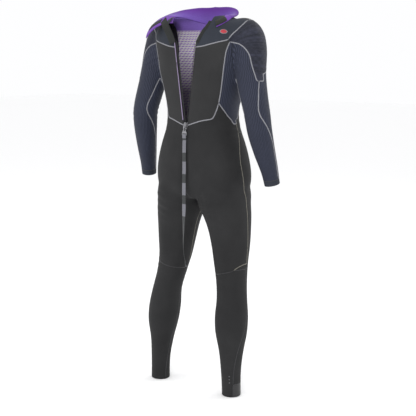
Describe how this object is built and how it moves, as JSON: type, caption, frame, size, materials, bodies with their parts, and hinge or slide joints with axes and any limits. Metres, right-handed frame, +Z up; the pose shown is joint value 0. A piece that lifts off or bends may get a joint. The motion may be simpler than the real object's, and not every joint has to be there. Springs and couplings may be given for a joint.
{
  "type": "full wetsuit",
  "caption": "Full-length neoprene wetsuit with long sleeves, shaped panels, an open back zip with a long pull strap and a folded-out collar.",
  "frame": {"origin": "on the floor plane of the ankle hems, under the middle of the suit's box", "axes": "+X towards the wearer's right, +Y towards the wearer's front, +Z up to the collar"},
  "size_m": [0.6318, 0.2635, 1.4211],
  "materials": {
    "slate_neoprene": "ribbed slate-grey nylon facing on 4 mm neoprene",
    "black_neoprene": "fine matt black nylon jersey on 4 mm neoprene",
    "grip_rubber": "smooth glossy printed rubber",
    "purple_lining": "brushed purple jersey lining",
    "chest_lining": "pale grey thermal pile with purple dashes",
    "hook_and_loop": "black hook-and-loop pile",
    "zip_tape": "black woven zip tape",
    "zip_teeth": "black moulded teeth",
    "slider_metal": "satin cast metal",
    "webbing": "dark grey woven webbing with pale grey blocks"
  },
  "bodies": {
    "suit": {"wrist_hem_right": "slate_neoprene", "wrist_hem_left": "slate_neoprene", "shoulder_cap_right": "slate_neoprene", "shoulder_cap_left": "slate_neoprene", "yoke_right": "slate_neoprene", "yoke_left": "slate_neoprene", "back_panel_right": "black_neoprene", "back_panel_left": "black_neoprene", "sleeve_front_right": "slate_neoprene", "sleeve_front_left": "slate_neoprene", "side_panel_right": "slate_neoprene", "side_panel_left": "slate_neoprene", "thigh_back_right": "black_neoprene", "thigh_back_left": "black_neoprene", "knee_pad_right": "grip_rubber", "knee_pad_left": "grip_rubber", "thigh_front_right": "black_neoprene", "thigh_front_left": "black_neoprene", "ankle_patch_right": "grip_rubber", "ankle_patch_left": "grip_rubber", "calf_right": "black_neoprene", "calf_left": "black_neoprene", "shin_right": "black_neoprene", "shin_left": "black_neoprene", "chest_panel": "black_neoprene", "belly_panel": "black_neoprene", "chest_lining": "chest_lining", "collar_front": "slate_neoprene", "collar_lining": "purple_lining", "zip_bottom_stop": "slider_metal"},
    "zip_half_right": {"zip_tape_right": "zip_tape", "zip_teeth_right": "zip_teeth"},
    "zip_half_left": {"zip_tape_left": "zip_tape", "zip_teeth_left": "zip_teeth", "zip_guard_left": "black_neoprene"},
    "collar_fold_right": {"collar_end_right": "purple_lining"},
    "collar_fold_left": {"collar_end_left": "purple_lining", "loop_patch": "hook_and_loop"},
    "hook_tab": {"collar_tab": "hook_and_loop"},
    "slider": {"zip_slider": "slider_metal"},
    "pull": {"pull_tab": "slider_metal"},
    "strap": {"strap_loop": "webbing", "pull_strap": "webbing", "strap_end": "webbing"}
  },
  "joints": [
    {"name": "zip_slide", "type": "slide", "parent": "suit", "child": "slider", "axis": [0, 0, 1], "range_m": [0, 0.29]},
    {"name": "zip_close_right", "type": "hinge", "parent": "suit", "child": "zip_half_right", "pos_m": [0, -0.107, 1], "axis": [0, -1, 0], "range_deg": [0, 7.6]},
    {"name": "zip_close_left", "type": "hinge", "parent": "suit", "child": "zip_half_left", "pos_m": [0, -0.107, 1], "axis": [0, 1, 0], "range_deg": [0, 7.6]},
    {"name": "collar_fold_right", "type": "hinge", "parent": "zip_half_right", "child": "collar_fold_right", "pos_m": [0.112, -0.035, 1.393], "axis": [-0.4411, -0.8821, -0.1654], "range_deg": [0, 80]},
    {"name": "collar_fold_left", "type": "hinge", "parent": "zip_half_left", "child": "collar_fold_left", "pos_m": [-0.112, -0.035, 1.393], "axis": [-0.4502, 0.8681, 0.209], "range_deg": [0, 80]},
    {"name": "hook_tab_fold", "type": "hinge", "parent": "collar_fold_right", "child": "hook_tab", "pos_m": [0.088, -0.083, 1.384], "axis": [0.8008, -0.3482, -0.4874], "range_deg": [0, 115]},
    {"name": "pull_swing", "type": "hinge", "parent": "slider", "child": "pull", "pos_m": [0, -0.1175, 0.9888], "axis": [1, 0, 0], "range_deg": [-120, 0]},
    {"name": "strap_swing", "type": "hinge", "parent": "pull", "child": "strap", "pos_m": [0, -0.1175, 0.9595], "axis": [1, 0, 0], "range_deg": [-25, 0]}
  ],
  "couplings": [
    {"joint": "zip_close_right", "follows": "zip_slide", "rad_per_m": 0.4559},
    {"joint": "zip_close_left", "follows": "zip_slide", "rad_per_m": 0.4559}
  ]
}
